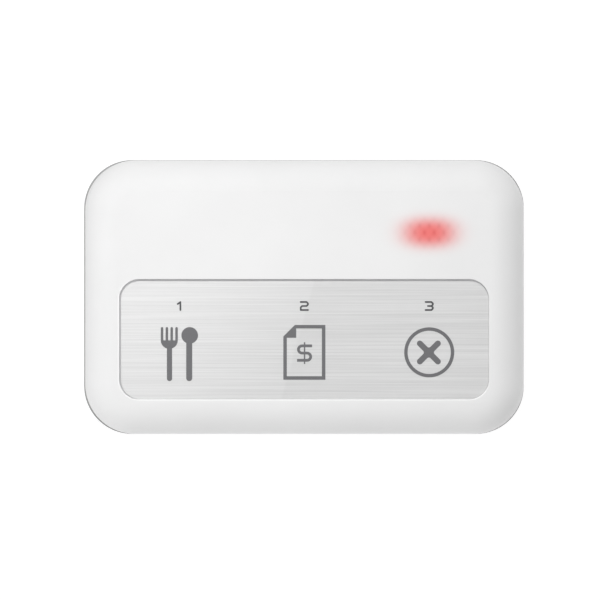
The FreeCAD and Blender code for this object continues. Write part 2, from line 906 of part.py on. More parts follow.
def chip_lead_row(size, count, place):
    """Bent leads along both long sides of a chip."""
    length, width, height = size
    x, y = place
    knee = z_board - chip_standoff - height / 2
    foot_low = z_board - lead_thickness
    leads = []
    for side in (-1, 1):
        wall = y + side * width / 2
        arm_y = wall + side * lead_thickness / 2
        foot_y = wall + side * lead_reach / 2
        for step in range(count):
            lead_x = x + (step - (count - 1) / 2) * length / count
            arm = centred_box(lead_width, lead_thickness, knee, z_board, lead_x, arm_y)
            foot = centred_box(lead_width, lead_reach, foot_low, z_board, lead_x, foot_y)
            leads.append(union(arm, [foot]))
    return leads


def chip_leads():
    controller = chip_lead_row(controller_size, controller_lead_count, controller_place)
    radio = chip_lead_row(radio_size, radio_lead_count, radio_place)
    return controller + radio


def crystal():
    """Oval metal crystal can on its rim."""
    x, y = crystal_place
    can = oval_block(crystal_length, crystal_width, z_board - crystal_height, z_board, x, y)
    can = rounded_edges(can, crystal_rim, z_board - crystal_height)
    rim = oval_block(
        crystal_length + 2 * crystal_rim,
        crystal_width + 2 * crystal_rim,
        z_board - crystal_rim_height,
        z_board,
        x,
        y,
    )
    return union(can, [rim])


def capacitor():
    """Small storage capacitor with a waist above its base."""
    x, y = capacitor_place
    radius = capacitor_diameter / 2
    low = z_board - capacitor_height
    waist = z_board - capacitor_base_height - touch_gap
    return turned(
        [
            (0, low),
            (radius - crystal_rim, low),
            (radius, low + crystal_rim),
            (radius, waist - 3 * crystal_rim),
            (radius - crystal_rim, waist - 2 * crystal_rim),
            (radius, waist - crystal_rim),
            (radius, waist),
            (0, waist),
        ],
        x,
        y,
    )


def capacitor_base():
    """Square plastic base under the capacitor."""
    side = capacitor_diameter + 2 * crystal_rim
    return centred_box(side, side, z_board - capacitor_base_height, z_board, *capacitor_place)


def antenna():
    """Copper coil on its side under the board, with both ends up at the board."""
    x, y = antenna_start
    radius = antenna_diameter / 2
    top = z_board - antenna_gap - antenna_wire / 2
    length = antenna_turn_count * antenna_pitch
    section = Part.Wire(Part.makeCircle(antenna_wire / 2, Vector(radius, 0, 0), Vector(0, 1, 0)))
    coil = Part.Wire(Part.makeHelix(antenna_pitch, length, radius)).makePipeShell([section], True, True)
    coil.rotate(Vector(0, 0, 0), Vector(0, 1, 0), -90)
    coil.translate(Vector(x + length, y, top - radius))
    legs = [rod(antenna_wire, top, z_board, leg_x, y) for leg_x in (x, x + length)]
    return union(coil, legs)


def passives():
    """Small resistors and capacitors."""
    return [
        centred_box(passive_length, passive_width, z_board - passive_height, z_board, x, y)
        for x, y in passive_places
    ]


# ================================================================ battery and contacts
def cell_can():
    """Positive can of the coin cell, open towards the board, with a plus sign stamped in its outer face."""
    r, t = cell_diameter / 2, cell_can_thickness
    low, top = z_pocket, z_cell_top - cell_cap_rise
    can = turned(
        [(0, low), (r - t, low), (r, low + t), (r, top), (r - t, top), (r - t, low + t), (0, low + t)],
        0,
        bay_offset_y,
    )
    mark_y = bay_offset_y - r + cell_mark_inset
    bars = [
        centred_box(width, depth, low - 1, low + cell_mark_depth, 0, mark_y)
        for width, depth in ((cell_mark_size, cell_mark_line), (cell_mark_line, cell_mark_size))
    ]
    return without(can, bars)


def cell_seal():
    """Plastic seal ring between can and cap."""
    outer = cell_diameter / 2 - cell_can_thickness
    inner = outer - cell_seal_width
    low, top = z_pocket + cell_can_thickness, z_cell_top - cell_cap_rise
    return turned([(inner, low), (outer, low), (outer, top), (inner, top)], 0, bay_offset_y)


def cell_cap():
    """Negative cap of the coin cell, with the cell's filling."""
    radius = cell_diameter / 2 - cell_can_thickness - cell_seal_width
    low = z_pocket + cell_can_thickness
    bevel = cell_cap_rise / 2
    rim = [(radius, low), (radius, z_cell_top - bevel), (radius - bevel, z_cell_top)]
    return turned([(0, low)] + rim + [(0, z_cell_top)], 0, bay_offset_y)


def negative_contact():
    """Leaf spring between the cell's cap and the bay roof, with a tail up through the board."""
    half = contact_thickness / 2
    tail_x = negative_tail_x
    touch = z_cell_top + half + touch_gap
    rest = z_bay_top - half - touch_gap
    path = [
        (tail_x, z_board_top + contact_tail),
        (tail_x, rest),
        (0, touch),
        (-tail_x / 2, touch),
        (-tail_x, rest),
    ]
    return bent_strip(path, contact_thickness, contact_width, (0, bay_offset_y))


def positive_contact():
    """Side spring that touches the can's rim through a slot in the bay wall."""
    half = contact_thickness / 2
    tail_x = positive_tail_x
    rim_x = cell_diameter / 2 + half + touch_gap
    low = z_pocket + door_roof + half + slide_gap
    rim_sag = cell_diameter / 2 - ((cell_diameter / 2) ** 2 - (contact_width / 2) ** 2) ** 0.5
    path = [
        (tail_x, z_board_top + contact_tail),
        (tail_x, low),
        (rim_x + rim_sag, low),
        (rim_x, (low + z_cell_top - cell_cap_rise) / 2),
        (rim_x + rim_sag, z_cell_top),
    ]
    return bent_strip(path, contact_thickness, contact_width, (0, bay_offset_y))


# ================================================================ back cover, door and feet
def back_block():
    """Outer form of the back cover and its door."""
    block = rounded_block(case_width, case_depth, corner_radius, z_back, z_seam - seam_gap)
    return rounded_edges(block, back_edge_radius, z_back)


def door_space():
    """Room for the sliding door, its rails and its end wall."""
    beyond = door_bottom_y - 1
    top = door_top_y + slide_gap
    half = door_width / 2 + slide_gap
    rail_half = door_rail_width / 2 + slide_gap
    end_half = door_end_width / 2 + slide_gap
    return [
        box(-half, half, beyond, top, z_back - 1, z_pocket),
        box(-rail_half, rail_half, beyond, top, rail_low - slide_gap, rail_high + slide_gap),
        box(-end_half, end_half, beyond, wall_inner_y, z_back - 1, z_seam + tongue_height + 1),
    ]


def back_cover():
    """Back tray with screw towers, the battery bay and the way for the door."""
    tongue_top = z_seam + tongue_height
    width, depth = inner_width + 2 * tongue_width, inner_depth + 2 * tongue_width
    lip = rounded_block(width, depth, inner_radius + tongue_width, z_floor, tongue_top)
    hollow = rounded_block(inner_width, inner_depth, inner_radius, z_floor, tongue_top + 1)
    tray = without(union(back_block(), [lip]), hollow)

    embed = z_back + back_wall / 2
    frame_half = door_rail_width / 2 + slide_gap + door_frame_margin
    frame_top = door_top_y + slide_gap + door_frame_margin
    roof = box(-frame_half, frame_half, wall_inner_y, frame_top, embed, z_pocket + door_roof)
    end_half = door_end_width / 2 + slide_gap + door_frame_margin
    end_wall = box(-end_half, end_half, wall_inner_y, wall_inner_y + door_frame_margin, embed, tongue_top)
    bay = rod(2 * bay_outer_radius, embed, z_bay_top + bay_roof, 0, bay_offset_y)
    towers = [rod(tower_diameter, embed, z_join, x, y) for x, y in case_screw_places]
    tray = union(tray, [roof, end_wall, bay] + towers)

    bay_hole = rod(2 * bay_radius, z_back - 1, z_bay_top, 0, bay_offset_y)
    slot_low = z_bay_top - 1
    tail_slot = centred_box(
        contact_slot, contact_slot_width, slot_low, z_board, negative_tail_x, bay_offset_y
    )
    side_slot = box(
        bay_radius - bay_wall,
        positive_tail_x + contact_slot / 2,
        bay_offset_y - contact_slot_width / 2,
        bay_offset_y + contact_slot_width / 2,
        z_pocket + door_roof,
        z_board,
    )
    well = case_screw_head + 2 * screw_well_gap
    hole = case_screw_diameter + 2 * guide_gap
    wells = [rod(well, z_back - 1, z_screw_seat, x, y) for x, y in case_screw_places]
    screw_holes = [rod(hole, z_back, z_join + 1, x, y) for x, y in case_screw_places]
    seat_top = z_back + foot_seat_depth
    foot_seats = [oval_block(foot_length, foot_width, z_back - 1, seat_top, x, y) for x, y in foot_places]
    label = rounded_block(
        label_width,
        label_depth,
        label_corner_radius,
        z_back - 1,
        z_back + label_recess_depth,
        0,
        half_depth - label_top_inset,
    )
    slots = [bay_hole, tail_slot, side_slot, label]
    return without(tray, door_space(), slots, wells, screw_holes, foot_seats)


def battery_door():
    """Sliding door with side rails, an end wall in the case edge, grip grooves and an arrow."""
    beyond = door_bottom_y - 1
    plate = box(-door_width / 2, door_width / 2, beyond, door_top_y, z_back - 1, z_back + door_wall)
    end = box(
        -door_end_width / 2, door_end_width / 2, beyond, door_bottom_y + door_end_wall, z_back - 1, z_seam
    )
    body = back_block().common(union(plate, [end]))
    half = door_rail_width / 2
    rails = box(-half, half, door_bottom_y + door_end_wall / 2, door_top_y, rail_low, rail_high)
    door = union(body, [rails])
    grooves = [
        oval_block(
            grip_length,
            grip_width,
            z_back - 1,
            z_back + grip_depth,
            0,
            door_bottom_y + grip_inset + place * grip_pitch,
        )
        for place in range(grip_count)
    ]
    tip = door_bottom_y + arrow_inset
    arrow = slab(
        [(-arrow_width / 2, tip + arrow_length), (0, tip), (arrow_width / 2, tip + arrow_length)],
        z_back - 1,
        z_back + grip_depth,
    )
    return without(door, grooves, arrow)


def rubber_feet():
    """Four oblong feet set into the back cover."""
    feet = []
    for x, y in foot_places:
        foot = oval_block(foot_length, foot_width, 0, z_back + foot_seat_depth, x, y)
        feet.append(rounded_edges(foot, foot_edge_round, 0))
    return feet


# ================================================================ assembly
def all_parts():
    """Every piece by name.  A list is a group of equal pieces that share one name."""
    parts = {
        "front_cover": front_cover(),
        "panel_film": panel_film(),
        "panel_tape": panel_tape(),
        "number_print": number_print(),
        "left_sign_print": fork_and_spoon(*sign_places["left"]),
        "middle_sign_print": bill_sheet(*sign_places["middle"]),
        "right_sign_print": ring_and_cross(*sign_places["right"]),
        "switch_terminals": switch_terminals(),
        "circuit_board": circuit_board(),
        "board_screws": board_screws(),
        "light_guide": light_guide(),
        "controller_chip": chip(controller_size, controller_place),
        "radio_chip": chip(radio_size, radio_place),
        "chip_leads": chip_leads(),
        "crystal": crystal(),
        "capacitor": capacitor(),
        "capacitor_base": capacitor_base(),
        "antenna_coil": antenna(),
        "passives": passives(),
        "cell_can": cell_can(),
        "cell_seal": cell_seal(),
        "cell_cap": cell_cap(),
        "negative_contact": negative_contact(),
        "positive_contact": positive_contact(),
        "back_cover": back_cover(),
        "battery_door": battery_door(),
        "case_screws": case_screws(),
        "rubber_feet": rubber_feet(),
    }
    for name, place in key_places.items():
        parts[name + "_key"] = key(*place)
        parts[name + "_switch_body"] = switch_body(*place)
        parts[name + "_switch_dome"] = switch_dome(*place)
        parts[name + "_switch_plunger"] = switch_plunger(*place)
        parts[name + "_switch_plate"] = switch_plate(*place)
    for name, place in led_places.items():
        parts[name + "_led"] = led(*place)
    return parts


def main():
    os.makedirs("parts", exist_ok=True)
    for name, made in all_parts().items():
        pieces = made if isinstance(made, list) else [made]
        solids = [solid for piece in pieces for solid in piece.Solids]
        shape = Part.makeCompound(solids) if len(solids) > 1 else solids[0]
        if not shape.isValid():
            raise ValueError(name + " is not a valid solid")
        shape.exportStep("parts/" + name + ".step")
        size = shape.BoundBox
        heights = f"z {size.ZMin:6.2f} to {size.ZMax:6.2f}"
        print(f"{name:24s} {len(solids):3d} solids  {heights}  {shape.Volume:9.2f}")


main()
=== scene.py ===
"""Looks of the waiter call button: a satin white case, a brushed panel film over three keys, a red light.

Every length is in metres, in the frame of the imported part: +X right, +Y towards the indicator light,
+Z out of the face.  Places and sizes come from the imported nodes' boxes wherever a node has them.
"""

import math

import bmesh
import bpy
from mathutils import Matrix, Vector


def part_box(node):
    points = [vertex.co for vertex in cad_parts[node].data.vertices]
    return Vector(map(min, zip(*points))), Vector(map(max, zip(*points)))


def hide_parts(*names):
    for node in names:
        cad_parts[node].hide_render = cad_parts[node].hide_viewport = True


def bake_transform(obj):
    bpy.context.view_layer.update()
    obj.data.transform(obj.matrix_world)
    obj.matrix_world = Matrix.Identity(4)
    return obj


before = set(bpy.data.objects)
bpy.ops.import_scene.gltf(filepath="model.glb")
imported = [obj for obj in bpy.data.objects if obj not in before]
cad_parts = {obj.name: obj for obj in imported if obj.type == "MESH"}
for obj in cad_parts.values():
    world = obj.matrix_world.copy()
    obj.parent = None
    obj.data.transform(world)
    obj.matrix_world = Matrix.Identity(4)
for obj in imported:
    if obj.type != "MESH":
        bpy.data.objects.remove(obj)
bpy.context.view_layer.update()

MM = 0.001
SAME_PLACE = 0.001 * MM

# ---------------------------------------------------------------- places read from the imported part
film_low, film_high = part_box("panel_film")
guide_low, guide_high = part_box("light_guide")
case_low, case_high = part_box("front_cover")
seat_low, seat_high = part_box("panel_tape")
board_low, board_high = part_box("circuit_board")
cell_low, cell_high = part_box("cell_can")
key_names = ("left", "middle", "right")
key_centres = {name: (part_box(f"{name}_key")[0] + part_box(f"{name}_key")[1]) / 2 for name in key_names}
light_centre = (guide_low + guide_high) / 2

# ---------------------------------------------------------------- camera
IMAGE_SIZE = 600  # pixels along each side of the picture
PIXEL = 0.2 * MM  # what one pixel covers on the face
CAMERA_HEIGHT = 5.5
CAMERA_REACH = (0.1, 10.0)
CASE_CENTRE_PIXEL = (304.0, 297.0)

# ---------------------------------------------------------------- studio
WORLD_LIGHT = 0.59
FLOOR_SIZE = 3.0
FLOOR_DROP = 0.2 * MM
FLOOR_COLOUR = (0.24, 0.24, 0.24)
FLOOR_LIGHT = 0.47
FLOOR_GLOW = 0.40
FLOOR_ROUGHNESS = 0.9
LAMP_AIM = (0.0, 0.0, 0.014)
LAMPS = {
    "near_soft_box": {"place": (-0.040, 0.042, 0.145), "size": 0.12, "spread": 157, "power": 0.045},
    "left_soft_box": {"place": (-0.300, -0.250, 0.150), "size": 0.25, "spread": 180, "power": 0.27},
    "top_soft_box": {"place": (0.000, 0.350, 0.300), "size": 0.25, "spread": 180, "power": 0.36},
}

# ---------------------------------------------------------------- panel film and its seat
SEAT_CORNER = 4.0 * MM
TAPE_GAP = 0.05 * MM
FILM_CORNER_STEPS = 10
KEY_HEAD = (13.95 * MM, 11.2 * MM)
KEY_WINDOW = (17.15 * MM, 14.4 * MM)
DIP_STEPS = 5
OPEN_STEP = 3.0 * MM

# ---------------------------------------------------------------- snap domes
KEY_TRAVEL = 0.3 * MM
DOME_THICKNESS = 0.08 * MM
DOME_FLOOR_GAP = 0.03 * MM
DOME_STEPS = 8
DOME_SEGMENTS = 48
DOME_EDGE_ANGLE = 15

# ---------------------------------------------------------------- colours, as linear light
CASE_WHITE = (0.908, 0.908, 0.908)
BASE_GREY = (0.45, 0.45, 0.45)
GLOW_RED = (0.86, 0.203, 0.195)
DOT_RED = (0.78, 0.152, 0.146)
FILM_SILVER = (0.702, 0.702, 0.702)
FILM_SILVER_DARK = (0.602, 0.602, 0.602)
TAPE_GREY = (0.60, 0.60, 0.61)
INK_GREY = (0.137, 0.137, 0.1435)
LETTER_GREY = (0.055, 0.055, 0.060)
KEY_WHITE = (0.78, 0.78, 0.77)
SWITCH_BLACK = (0.018, 0.018, 0.020)
CHIP_BLACK = (0.014, 0.014, 0.015)
SEAL_BLACK = (0.030, 0.030, 0.034)
FOOT_BLACK = (0.050, 0.050, 0.052)
SPRING_STEEL = (0.60, 0.59, 0.56)
SCREW_STEEL = (0.56, 0.56, 0.55)
CELL_STEEL = (0.66, 0.66, 0.64)
CAN_METAL = (0.68, 0.68, 0.67)
TIN = (0.72, 0.725, 0.73)
COPPER = (0.66, 0.30, 0.15)
SOLDER_MASK = (0.012, 0.115, 0.042)
COPPER_UNDER_MASK = (0.030, 0.210, 0.075)
BOARD_PRINT = (0.78, 0.78, 0.75)
CERAMIC_TAN = (0.34, 0.23, 0.13)
GUIDE_CLEAR = (0.97, 0.95, 0.95)
LAMP_RESIN = (0.90, 0.84, 0.82)
LAMP_RED = (1.0, 0.03, 0.02)
FULL_WHITE = (1.0, 1.0, 1.0, 1.0)
BLACK = (0.0, 0.0, 0.0)

# ---------------------------------------------------------------- textures
NOISE_LOW = 0.3
NOISE_HIGH = 0.7


# ================================================================ node materials
class Finish:
    """A node material round one Principled shader, with textures laid out in the part's own metres."""

    def __init__(self, name, colour, roughness, **values):
        self.material = bpy.data.materials.new(name)
        self.material.use_nodes = True
        self.tree = self.material.node_tree
        self.shader = self.tree.nodes["Principled BSDF"]
        self.place = self.node("ShaderNodeTexCoord").outputs["Object"]
        self.feed("Base Color", (*colour, 1.0))
        self.feed("Roughness", roughness)
        for socket, value in values.items():
            self.feed(socket.replace("_", " "), value)

    def node(self, kind, inputs=None, **settings):
        """A new node of that kind, with its inputs joined or set."""
        made = self.tree.nodes.new(kind)
        for name, value in settings.items():
            setattr(made, name, value)
        for name, value in (inputs or {}).items():
            self.join(made.inputs[name], value)
        return made

    def join(self, socket, value):
        """Links an output to the socket, or sets the socket to a plain value."""
        if isinstance(value, bpy.types.NodeSocket):
            self.tree.links.new(value, socket)
        else:
            socket.default_value = value

    def feed(self, socket, value):
        self.join(self.shader.inputs[socket], value)

    def math(self, operation, *values):
        inputs = dict(enumerate(values))
        return self.node("ShaderNodeMath", inputs, operation=operation).outputs[0]

    def scaled(self, size, stretch=(1.0, 1.0, 1.0)):
        """The place divided by a texture's feature size, drawn out along the axes by stretch."""
        factors = tuple(1.0 / (size * share) for share in stretch)
        inputs = {0: self.place, 1: factors}
        return self.node("ShaderNodeVectorMath", inputs, operation="MULTIPLY").outputs[0]

    def noise(self, size, detail=2.0, stretch=(1.0, 1.0, 1.0)):
        """Soft cloudy variation from 0 to 1."""
        inputs = {"Vector": self.scaled(size, stretch), "Scale": 1.0, "Detail": detail}
        return self.node("ShaderNodeTexNoise", inputs).outputs["Fac"]

    def span(self, factor, low, high, start=NOISE_LOW, stop=NOISE_HIGH):
        """The factor's range from start to stop, by default a noise's range, mapped to low to high."""
        inputs = {"Value": factor, "From Min": start, "From Max": stop, "To Min": low, "To Max": high}
        return self.node("ShaderNodeMapRange", inputs).outputs[0]

    def between(self, factor, low, high):
        """A value that goes from low to high as the factor goes from 0 to 1."""
        low_socket, high_socket = 2, 3
        return self.node("ShaderNodeMix", {0: factor, low_socket: low, high_socket: high}).outputs[0]

    def mixed(self, factor, colour_a, colour_b):
        """A colour that goes from colour_a to colour_b as the factor goes from 0 to 1."""
        colour_sockets = (6, 7)
        colour_output = 2
        made = self.node("ShaderNodeMix", {0: factor}, data_type="RGBA")
        for index, colour in zip(colour_sockets, (colour_a, colour_b)):
            self.join(made.inputs[index], (*colour, 1.0) if isinstance(colour, tuple) else colour)
        return made.outputs[colour_output]

    def offset(self, centre):
        """The place measured from a point."""
        inputs = {0: self.place, 1: tuple(centre)}
        return self.node("ShaderNodeVectorMath", inputs, operation="SUBTRACT").outputs[0]

    def parts(self, vector):
        """The X, Y and Z parts of a vector."""
        return tuple(self.node("ShaderNodeSeparateXYZ", {0: vector}).outputs)

    def flat(self, x, y):
        """A vector with those X and Y parts and no Z part."""
        return self.node("ShaderNodeCombineXYZ", {0: x, 1: y}).outputs[0]

    def length(self, vector):
        return self.node("ShaderNodeVectorMath", {0: vector}, operation="LENGTH").outputs["Value"]

    def off_axis(self, centre):
        """Distance from the upright axis through a point."""
        x, y, _ = self.parts(self.offset(centre))
        return self.length(self.flat(x, y))

    def colour(self):
        """The colour that the shader gets so far."""
        return self.shader.inputs["Base Color"].links[0].from_socket

    def beyond(self, centre, half):
        """How far the place lies outside a box about centre along X and Y, below 0 within it."""
        size = self.node("ShaderNodeVectorMath", {0: self.offset(centre)}, operation="ABSOLUTE").outputs[0]
        inputs = {0: size, 1: tuple(half)}
        return self.node("ShaderNodeVectorMath", inputs, operation="SUBTRACT").outputs[0]

    def box_gap(self, centre, half):
        """Gap to an upright box with sharp corners, seen along Z, below 0 inside it."""
        x, y, _ = self.parts(self.beyond(centre, half))
        return self.math("MAXIMUM", x, y)

    def round_box_gap(self, centre, half, radius):
        """Gap to an upright box with round corners, seen along Z."""
        core = Vector((half.x - radius, half.y - radius, 0.0))
        x, y, _ = self.parts(self.beyond(centre, core))
        outside = self.flat(self.math("MAXIMUM", x, 0.0), self.math("MAXIMUM", y, 0.0))
        return self.math("SUBTRACT", self.length(outside), radius)

    def relief(self, height, depth):
        """Adds a bump of that depth over the relief that is there already."""
        inputs = {"Height": height, "Distance": depth, "Strength": 1.0}
        normal = self.shader.inputs["Normal"]
        if normal.is_linked:
            inputs["Normal"] = normal.links[0].from_socket
        self.feed("Normal", self.node("ShaderNodeBump", inputs).outputs[0])

    def vary(self, low, high, size):
        """Roughness that drifts from low to high over patches of that size."""
        self.feed("Roughness", self.span(self.noise(size, detail=3.0), low, high))


def tinted(colour, factor):
    """The colour made darker or lighter by a factor."""
    return tuple(min(1.0, factor * part) for part in colour)


def moulded(name, colour, gloss, patch, grain, depth, **values):
    """Moulded plastic, rubber or resin: slightly uneven tone and gloss over a fine grain."""
    cloud_shade = 0.975
    gloss_patch = patch / 3
    finish = Finish(name, colour, gloss[0], **values)
    clouds = finish.span(finish.noise(patch, detail=3.0), 0.0, 1.0)
    finish.feed("Base Color", finish.mixed(clouds, colour, tinted(colour, cloud_shade)))
    finish.vary(*gloss, gloss_patch)
    finish.relief(finish.noise(grain, detail=3.0), depth)
    return finish


def bare_metal(name, colour, gloss, line, stretch, depth, **values):
    """Bare metal: fine drawn lines, faint stains and a drifting gloss."""
    stain_size = 2.5 * MM
    line_tone = 0.4
    stain_tone = 0.85
    dark_shade = 0.72
    finish = Finish(name, colour, gloss[0], Metallic=1.0, **values)
    lines = finish.noise(line, stretch=stretch)
    stains = finish.noise(stain_size, detail=3.0)
    tone = finish.math("MULTIPLY", finish.span(lines, line_tone, 1.0), finish.span(stains, stain_tone, 1.0))
    finish.feed("Base Color", finish.mixed(tone, tinted(colour, dark_shade), colour))
    finish.feed("Roughness", finish.span(stains, *gloss))
    finish.relief(lines, depth)
    return finish


def case_plastic(name, colour):
    """Satin moulded plastic with a fine spark texture over very shallow waves."""
    wave_size = 9 * MM
    wave_depth = 0.02 * MM
    finish = moulded(
        name,
        colour,
        gloss=(0.5, 0.6),
        patch=14 * MM,
        grain=0.22 * MM,
        depth=0.004 * MM,
        Specular_IOR_Level=0.3,
    )
    finish.relief(finish.noise(wave_size), wave_depth)
    return finish


def lit_case_plastic(name):
    """White case plastic with the red light behind its thin skin painted in as a glow, and a painted
    highlight on the low sides of the panel seat's rim.
    """
    half_length = 4.9 * MM
    half_width = 2.65 * MM
    squareness = 2.3
    steepness = 2.9
    dot_pitch = 1.95 * MM
    dot_row_pitch = 1.45 * MM
    dot_sharpness = 2.5
    glow_strength = 0.06
    rim_width = 0.21 * MM
    rim_softness = 0.2
    highlight_white = (0.99, 0.99, 0.99)
    rim_metal = 0.35
    finish = case_plastic(name, CASE_WHITE)
    # Painted glow: the red light behind the thin skin is painted into the base colour as a dotted patch, with
    # a faint red emission.
    along, across, _ = finish.parts(finish.offset(light_centre))
    reach = 0.0
    for distance, half in ((along, half_length), (across, half_width)):
        share = finish.math("ABSOLUTE", finish.math("DIVIDE", distance, half))
        reach = finish.math("ADD", reach, finish.math("POWER", share, squareness))
    steep = finish.math("POWER", reach, steepness / squareness)
    glow = finish.math("EXPONENT", finish.math("MULTIPLY", steep, -math.log(2.0)))
    wave_along = finish.math("COSINE", finish.math("MULTIPLY", along, 2 * math.pi / dot_pitch))
    wave_across = finish.math("COSINE", finish.math("MULTIPLY", across, math.pi / dot_row_pitch))
    lattice = finish.math("MULTIPLY", wave_along, wave_across)
    dots = finish.math("POWER", finish.span(lattice, 1.0, 0.0, -1.0, 1.0), dot_sharpness)
    red = finish.mixed(dots, GLOW_RED, DOT_RED)

    seat_centre = (seat_low + seat_high) / 2
    seat_half = (seat_high - seat_low) / 2 + Vector((TAPE_GAP, TAPE_GAP, 0.0))
    beside_seat = finish.round_box_gap(seat_centre, seat_half, SEAT_CORNER)
    rim_start, rim_stop = ((1 + side * rim_softness) * rim_width for side in (-1, 1))
    # Painted highlight: a thin band round the seat's mouth, on its left and bottom sides, turns near white
    # and partly metallic.
    rim_highlight = finish.span(beside_seat, 1.0, 0.0, rim_start, rim_stop)
    from_left, from_bottom, _ = finish.parts(finish.offset(seat_low))
    from_low_sides = finish.math("MINIMUM", from_left, from_bottom)
    rim_highlight = finish.math("MULTIPLY", rim_highlight, finish.span(from_low_sides, 1.0, 0.0, 0.0, SEAT_CORNER))

    plain = finish.mixed(rim_highlight, finish.colour(), highlight_white)
    finish.feed("Base Color", finish.mixed(glow, plain, red))
    finish.feed("Metallic", finish.math("MULTIPLY", rim_highlight, rim_metal))
    finish.feed("Emission Color", (*LAMP_RED, 1.0))
    finish.feed("Emission Strength", finish.math("MULTIPLY", glow, glow_strength))
    return finish


def panel_film(name):
    """Printed film with a brushed-metal look: fine scratches along the panel, a satin gloss and a painted
    sheen edge across it.
    """
    fine_width, fine_stretch, fine_share = 0.15 * MM, 150.0, 0.45
    coarse_width, coarse_stretch, coarse_share = 0.34 * MM, 160.0, 0.4
    band_width, band_stretch, band_share = 2.4 * MM, 30.0, 0.15
    darkest, lightest = 0.38, 0.62
    gloss = (0.30, 0.40)
    scratch_depth = 0.0015 * MM
    finish = Finish(name, FILM_SILVER, gloss[0], Metallic=0.36, Anisotropic=0.6)
    across_scratches = finish.flat(0.0, 1.0)
    finish.feed("Tangent", across_scratches)
    fine = finish.noise(fine_width, stretch=(fine_stretch, 1.0, 1.0))
    coarse = finish.noise(coarse_width, detail=1.0, stretch=(coarse_stretch, 1.0, 1.0))
    bands = finish.noise(band_width, stretch=(band_stretch, 1.0, 1.0))
    lines = 0.0
    for part, share in ((bands, band_share), (coarse, coarse_share), (fine, fine_share)):
        lines = finish.math("ADD", lines, finish.math("MULTIPLY", part, share))
    tone = finish.span(lines, 0.0, 1.0, darkest, lightest)
    brushed = finish.mixed(tone, FILM_SILVER_DARK, FILM_SILVER)
    # Painted sheen: the film's colour is darkened towards black by the shade of a slanted reflection edge.
    finish.feed("Base Color", finish.mixed(painted_sheen(finish), brushed, BLACK))
    finish.feed("Roughness", finish.span(coarse, *gloss))
    finish.relief(fine, scratch_depth)
    return finish


def painted_sheen(finish):
    """Painted sheen on the film, as shade: light before a slanted reflection edge, deeper after it and fading
    out.
    """
    edge_width = 0.5 * MM
    edge_shift = -1.4 * MM
    slant = math.atan(0.28)
    before_length = 35 * MM
    before_shade = (0.035, 0.060)
    after_length = 28 * MM
    after_shade = (0.095, 0.0)
    edge_place = (film_low + film_high) / 2 + Vector((edge_shift, 0.0, 0.0))
    along, across, _ = finish.parts(finish.offset(edge_place))
    past_edge = finish.math(
        "SUBTRACT",
        finish.math("MULTIPLY", along, math.cos(slant)),
        finish.math("MULTIPLY", across, math.sin(slant)),
    )
    side = finish.span(past_edge, 0.0, 1.0, -edge_width / 2, edge_width / 2)
    before = finish.span(past_edge, *before_shade, -before_length, 0.0)
    after = finish.span(past_edge, *after_shade, 0.0, after_length)
    return finish.between(side, before, after)


def sign_ink(name, colour):
    """Screen-printed ink with a faint grain."""
    grain_size = 0.12 * MM
    grain_tint = 1.12
    gloss = (0.45, 0.58)
    gloss_patch = 0.6 * MM
    relief_size = 0.10 * MM
    relief_depth = 0.002 * MM
    finish = Finish(name, colour, gloss[0])
    grain = finish.span(finish.noise(grain_size), 0.0, 1.0)
    finish.feed("Base Color", finish.mixed(grain, colour, tinted(colour, grain_tint)))
    finish.vary(*gloss, gloss_patch)
    finish.relief(finish.noise(relief_size), relief_depth)
    return finish


def board_mask(name):
    """Green solder mask over copper tracks, with tinned vias and a printed outline round each part."""
    track_pitch = 0.8 * MM
    track_width = 0.26 * MM
    track_softness = 0.04 * MM
    pitches_in_field = 5
    bare_fields = 0.18
    lengthwise_fields = 0.62
    copper_height = 0.025 * MM
    via_cell = 4.4 * MM
    via_share = 0.07
    print_gap = 0.35 * MM
    print_line = 0.16 * MM
    finish = moulded(
        name, SOLDER_MASK, gloss=(0.25, 0.38), patch=8 * MM, grain=0.12 * MM, depth=0.0015 * MM
    )
    mask = finish.colour()
    along, across, height = finish.parts(finish.place)
    field_size = pitches_in_field * track_pitch
    column = finish.math("FLOOR", finish.math("DIVIDE", along, field_size))
    row = finish.math("FLOOR", finish.math("DIVIDE", across, field_size))
    inputs = {"Vector": finish.flat(column, row)}
    chance = finish.node("ShaderNodeTexWhiteNoise", inputs, noise_dimensions="3D").outputs["Value"]
    lengthwise = finish.math("LESS_THAN", chance, lengthwise_fields)
    sideways = finish.between(lengthwise, along, across)
    off_track = finish.math("PINGPONG", sideways, track_pitch / 2)
    edge = (track_width - track_softness) / 2
    track = finish.span(off_track, 1.0, 0.0, edge, edge + track_softness)
    track = finish.math("MULTIPLY", track, finish.math("GREATER_THAN", chance, bare_fields))
    inputs = {"Vector": finish.scaled(via_cell), "Scale": 1.0}
    from_via = finish.node("ShaderNodeTexVoronoi", inputs).outputs["Distance"]
    via = finish.math("LESS_THAN", from_via, via_share)
    above = finish.math("GREATER_THAN", height, (board_low.z + board_high.z) / 2)
    below = finish.math("SUBTRACT", 1.0, above)
    upper_parts = ("left_switch_body", "middle_switch_body", "right_switch_body", "left_led", "right_led")
    lower_parts = ("controller_chip", "radio_chip", "crystal", "capacitor_base", "antenna_coil")
    printed = 0.0
    for side, names in ((above, upper_parts), (below, lower_parts)):
        for part in names:
            low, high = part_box(part)
            gap = finish.box_gap((low + high) / 2, (high - low) / 2)
            off_line = finish.math("ABSOLUTE", finish.math("SUBTRACT", gap, print_gap))
            line = finish.math("LESS_THAN", off_line, print_line / 2)
            printed = finish.math("MAXIMUM", printed, finish.math("MULTIPLY", line, side))
    colour = finish.mixed(track, mask, COPPER_UNDER_MASK)
    colour = finish.mixed(via, colour, TIN)
    finish.feed("Base Color", finish.mixed(printed, colour, BOARD_PRINT))
    finish.feed("Metallic", via)
    finish.relief(track, copper_height)
    return finish


